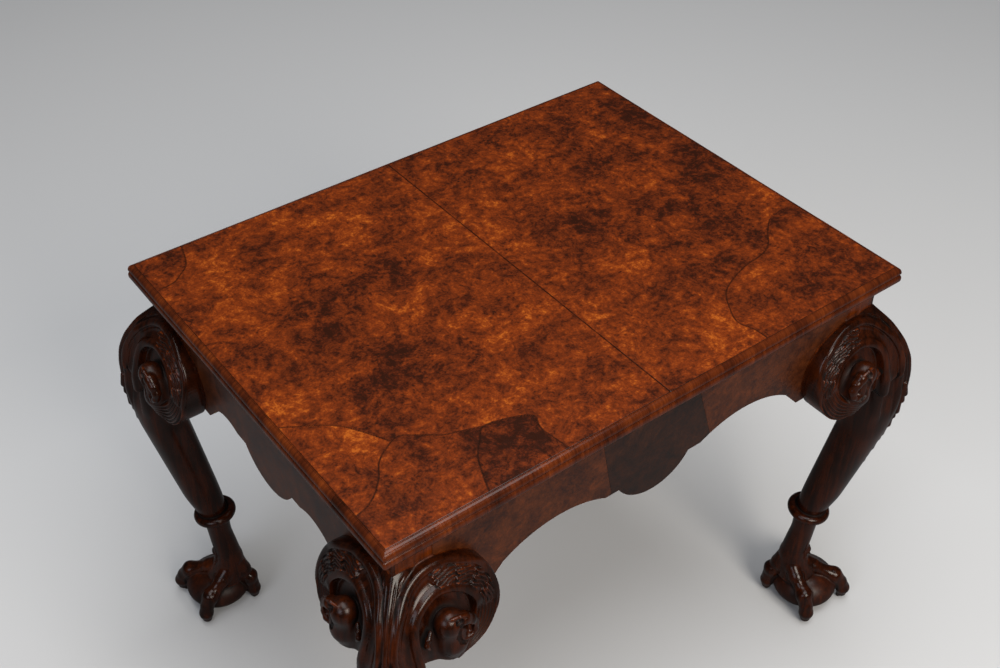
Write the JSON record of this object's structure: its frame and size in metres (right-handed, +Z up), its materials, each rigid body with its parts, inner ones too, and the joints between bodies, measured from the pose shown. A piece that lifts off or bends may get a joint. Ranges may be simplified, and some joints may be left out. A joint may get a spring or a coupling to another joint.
{
  "type": "tray top tea table",
  "caption": "Low rectangular tea table with a burr veneered top, moulded edge, shaped aprons and carved cabriole legs with eagle-head knees on claw and ball feet.",
  "frame": {"origin": "on the floor under the middle of the top", "axes": "+X along the long side, +Y from the front long side to the back one, +Z up"},
  "size_m": [0.8686, 0.6796, 0.664],
  "materials": {
    "top_burr_veneer": "burr walnut veneer, french polished to a gloss",
    "apron_burr_veneer": "burr walnut veneer, french polished",
    "edge_moulding": "cross grain walnut, french polished",
    "carved_walnut": "dark stained carved walnut, waxed",
    "ground_pine": "planed softwood, unfinished",
    "screw_steel": "dull steel"
  },
  "bodies": {
    "root": {"apron_back": "ground_pine", "apron_front": "ground_pine", "apron_left": "ground_pine", "apron_right": "ground_pine", "apron_veneer_back_centre": "apron_burr_veneer", "apron_veneer_back_left": "apron_burr_veneer", "apron_veneer_back_right": "apron_burr_veneer", "apron_veneer_front_centre": "apron_burr_veneer", "apron_veneer_front_left": "apron_burr_veneer", "apron_veneer_front_right": "apron_burr_veneer", "apron_veneer_left": "apron_burr_veneer", "apron_veneer_right": "apron_burr_veneer", "ear_back_left_long": "carved_walnut", "ear_back_left_short": "carved_walnut", "ear_back_right_long": "carved_walnut", "ear_back_right_short": "carved_walnut", "ear_front_left_long": "carved_walnut", "ear_front_left_short": "carved_walnut", "ear_front_right_long": "carved_walnut", "ear_front_right_short": "carved_walnut", "edge_moulding_back": "edge_moulding", "edge_moulding_front": "edge_moulding", "edge_moulding_left": "edge_moulding", "edge_moulding_right": "edge_moulding", "glue_block_1": "ground_pine", "glue_block_2": "ground_pine", "glue_block_3": "ground_pine", "glue_block_4": "ground_pine", "glue_block_5": "ground_pine", "glue_block_6": "ground_pine", "glue_block_7": "ground_pine", "glue_block_8": "ground_pine", "leg_back_left": "carved_walnut", "leg_back_right": "carved_walnut", "leg_front_left": "carved_walnut", "leg_front_right": "carved_walnut", "top_core": "ground_pine", "top_screws": "screw_steel", "top_veneer_left": "top_burr_veneer", "top_veneer_right": "top_burr_veneer"}
  },
  "joints": []
}
